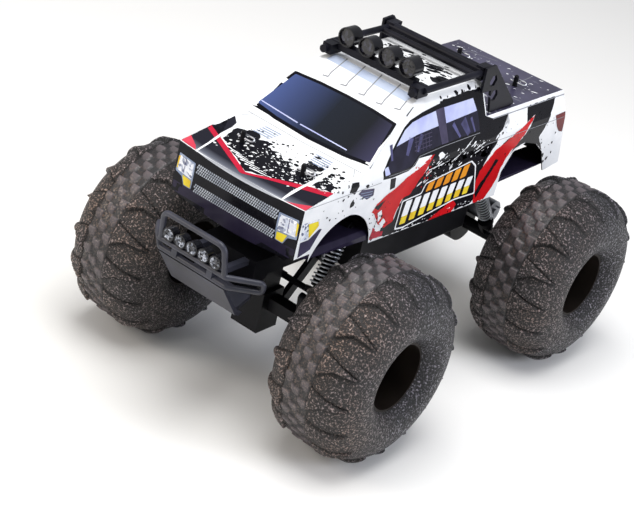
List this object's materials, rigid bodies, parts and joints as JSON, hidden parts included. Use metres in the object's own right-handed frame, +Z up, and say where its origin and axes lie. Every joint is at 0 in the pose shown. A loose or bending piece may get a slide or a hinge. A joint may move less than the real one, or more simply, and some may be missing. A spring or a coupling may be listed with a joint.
{
  "type": "remote control car",
  "caption": "Toy-grade remote control monster truck with printed pickup shell, balloon tyres, sprung swing axles, steering front wheels and geared rear drive.",
  "frame": {"origin": "on the ground under the middle of the model's length and width", "axes": "truck faces -Y, its left side is +X, +Z up"},
  "size_m": [0.3282, 0.513, 0.3183],
  "materials": {
    "black_plastic": "satin moulded",
    "shell_print": "printed gloss sheet",
    "rack_plastic": "satin moulded",
    "bumper_plastic": "satin moulded",
    "lamp_plastic": "gloss",
    "lamp_face": "faceted",
    "led_face": "beaded",
    "tyre_rubber": "grained rubber",
    "rim_plastic": "satin",
    "spring_steel": "bright wire",
    "steel": "bright",
    "motor_can": "plated",
    "gear_nylon": "nylon",
    "board": "lacquered board",
    "battery_wrap": "shrink wrap"
  },
  "bodies": {
    "chassis": {"chassis_tub": "black_plastic", "chassis_lid": "black_plastic", "battery_pack": "battery_wrap", "circuit_board": "board", "chassis_screws": "steel", "front_tower": "black_plastic", "rear_tower": "black_plastic", "front_posts": "black_plastic", "rear_posts": "black_plastic", "body_clips": "steel", "body_shell": "shell_print", "roof_rack": "rack_plastic", "rack_side_plates": "rack_plastic", "roof_lamps": "lamp_plastic", "roof_lamp_lenses": "lamp_face", "bumper_frame": "bumper_plastic", "skid_plate": "bumper_plastic", "bumper_lamps": "lamp_plastic", "bumper_lamp_lenses": "led_face", "front_pivot_pin": "steel", "rear_pivot_pin": "steel"},
    "battery_door": {"battery_door": "black_plastic"},
    "power_switch": {"power_switch": "black_plastic"},
    "front_axle": {"front_axle_housing": "black_plastic", "kingpins": "steel", "steering_servo": "black_plastic"},
    "servo_arm": {"servo_arm": "black_plastic"},
    "tie_rod": {"tie_rod": "black_plastic"},
    "knuckle_left": {"knuckle_left": "black_plastic", "wheel_nut_front_left": "steel"},
    "knuckle_right": {"knuckle_right": "black_plastic", "wheel_nut_front_right": "steel"},
    "wheel_front_left": {"tyre_front_left": "tyre_rubber", "rim_front_left": "rim_plastic"},
    "wheel_front_right": {"tyre_front_right": "tyre_rubber", "rim_front_right": "rim_plastic"},
    "rear_axle": {"gearbox_case_left": "black_plastic", "gearbox_case_right": "black_plastic", "drive_motor": "motor_can"},
    "rear_wheels": {"rear_axle_shaft": "steel", "spur_gear": "gear_nylon", "tyre_rear_left": "tyre_rubber", "tyre_rear_right": "tyre_rubber", "rim_rear_left": "rim_plastic", "rim_rear_right": "rim_plastic", "rear_wheel_nuts": "steel"},
    "motor_pinion": {"motor_pinion": "gear_nylon"},
    "shock_front_left_can": {"shock_front_left_can": "black_plastic", "shock_front_left_spring": "spring_steel"},
    "shock_front_left_rod": {"shock_front_left_rod": "black_plastic"},
    "shock_front_right_can": {"shock_front_right_can": "black_plastic", "shock_front_right_spring": "spring_steel"},
    "shock_front_right_rod": {"shock_front_right_rod": "black_plastic"},
    "shock_rear_left_can": {"shock_rear_left_can": "black_plastic", "shock_rear_left_spring": "spring_steel"},
    "shock_rear_left_rod": {"shock_rear_left_rod": "black_plastic"},
    "shock_rear_right_can": {"shock_rear_right_can": "black_plastic", "shock_rear_right_spring": "spring_steel"},
    "shock_rear_right_rod": {"shock_rear_right_rod": "black_plastic"}
  },
  "joints": [
    {"name": "battery_door_hinge", "type": "hinge", "parent": "chassis", "child": "battery_door", "pos_m": [0, 0.0897, 0.1199], "axis": [1, 0, 0], "range_deg": [0, 90]},
    {"name": "power_switch_slide", "type": "slide", "parent": "chassis", "child": "power_switch", "axis": [0, -1, 0], "range_m": [0, 0.005]},
    {"name": "front_axle_swing", "type": "hinge", "parent": "chassis", "child": "front_axle", "pos_m": [0, -0.0835, 0.124], "axis": [1, 0, 0], "range_deg": [-5, 5], "stiffness_Nm_per_rad": 60},
    {"name": "rear_axle_swing", "type": "hinge", "parent": "chassis", "child": "rear_axle", "pos_m": [0, 0.1125, 0.124], "axis": [1, 0, 0], "range_deg": [-5, 5], "stiffness_Nm_per_rad": 60},
    {"name": "steer_left", "type": "hinge", "parent": "front_axle", "child": "knuckle_left", "pos_m": [0.064, -0.1395, 0.09], "axis": [0, 0, 1], "range_deg": [-18, 18]},
    {"name": "steer_right", "type": "hinge", "parent": "front_axle", "child": "knuckle_right", "pos_m": [-0.064, -0.1395, 0.09], "axis": [0, 0, 1], "range_deg": [-18, 18]},
    {"name": "servo_turn", "type": "hinge", "parent": "front_axle", "child": "servo_arm", "pos_m": [0, -0.1395, 0.122], "axis": [0, 0, 1], "range_deg": [-18, 18]},
    {"name": "tie_rod_slide", "type": "slide", "parent": "front_axle", "child": "tie_rod", "axis": [1, 0, 0], "range_m": [-0.007, 0.007]},
    {"name": "wheel_front_left_spin", "type": "hinge", "parent": "knuckle_left", "child": "wheel_front_left", "pos_m": [0.12, -0.1395, 0.09], "axis": [1, 0, 0], "continuous": true},
    {"name": "wheel_front_right_spin", "type": "hinge", "parent": "knuckle_right", "child": "wheel_front_right", "pos_m": [-0.12, -0.1395, 0.09], "axis": [1, 0, 0], "continuous": true},
    {"name": "rear_wheels_spin", "type": "hinge", "parent": "rear_axle", "child": "rear_wheels", "pos_m": [0, 0.1665, 0.09], "axis": [1, 0, 0], "continuous": true},
    {"name": "motor_pinion_spin", "type": "hinge", "parent": "rear_axle", "child": "motor_pinion", "pos_m": [0, 0.17494, 0.10988], "axis": [1, 0, 0], "continuous": true},
    {"name": "shock_front_left_swing", "type": "hinge", "parent": "chassis", "child": "shock_front_left_can", "pos_m": [0.052, -0.1105, 0.179], "axis": [1, 0, 0], "range_deg": [-2.49, 2.49]},
    {"name": "shock_front_left_slide", "type": "slide", "parent": "shock_front_left_can", "child": "shock_front_left_rod", "axis": [0, 0.431, 0.9024], "range_m": [-0.00429, 0.00429], "deforming": ["shock_front_left_spring"]},
    {"name": "shock_front_right_swing", "type": "hinge", "parent": "chassis", "child": "shock_front_right_can", "pos_m": [-0.052, -0.1105, 0.179], "axis": [1, 0, 0], "range_deg": [-2.49, 2.49]},
    {"name": "shock_front_right_slide", "type": "slide", "parent": "shock_front_right_can", "child": "shock_front_right_rod", "axis": [0, 0.431, 0.9024], "range_m": [-0.00429, 0.00429], "deforming": ["shock_front_right_spring"]},
    {"name": "shock_rear_left_swing", "type": "hinge", "parent": "chassis", "child": "shock_rear_left_can", "pos_m": [0.047, 0.1095, 0.158], "axis": [1, 0, 0], "range_deg": [-3.02, 3.02]},
    {"name": "shock_rear_left_slide", "type": "slide", "parent": "shock_rear_left_can", "child": "shock_rear_left_rod", "axis": [0, -0.6317, 0.7752], "range_m": [-0.00177, 0.00177], "deforming": ["shock_rear_left_spring"]},
    {"name": "shock_rear_right_swing", "type": "hinge", "parent": "chassis", "child": "shock_rear_right_can", "pos_m": [-0.047, 0.1095, 0.158], "axis": [1, 0, 0], "range_deg": [-3.02, 3.02]},
    {"name": "shock_rear_right_slide", "type": "slide", "parent": "shock_rear_right_can", "child": "shock_rear_right_rod", "axis": [0, -0.6317, 0.7752], "range_m": [-0.00177, 0.00177], "deforming": ["shock_rear_right_spring"]}
  ],
  "couplings": [
    {"joint": "steer_right", "follows": "steer_left", "ratio": 1},
    {"joint": "servo_turn", "follows": "steer_left", "ratio": 1},
    {"joint": "tie_rod_slide", "follows": "steer_left", "m_per_rad": -0.022},
    {"joint": "motor_pinion_spin", "follows": "rear_wheels_spin", "ratio": -4.4},
    {"joint": "shock_front_left_swing", "follows": "front_axle_swing", "ratio": 0.48825},
    {"joint": "shock_front_left_slide", "follows": "front_axle_swing", "m_per_rad": -0.048052},
    {"joint": "shock_front_right_swing", "follows": "front_axle_swing", "ratio": 0.48825},
    {"joint": "shock_front_right_slide", "follows": "front_axle_swing", "m_per_rad": -0.048052},
    {"joint": "shock_rear_left_swing", "follows": "rear_axle_swing", "ratio": 0.59451},
    {"joint": "shock_rear_left_slide", "follows": "rear_axle_swing", "m_per_rad": 0.019144},
    {"joint": "shock_rear_right_swing", "follows": "rear_axle_swing", "ratio": 0.59451},
    {"joint": "shock_rear_right_slide", "follows": "rear_axle_swing", "m_per_rad": 0.019144}
  ]
}
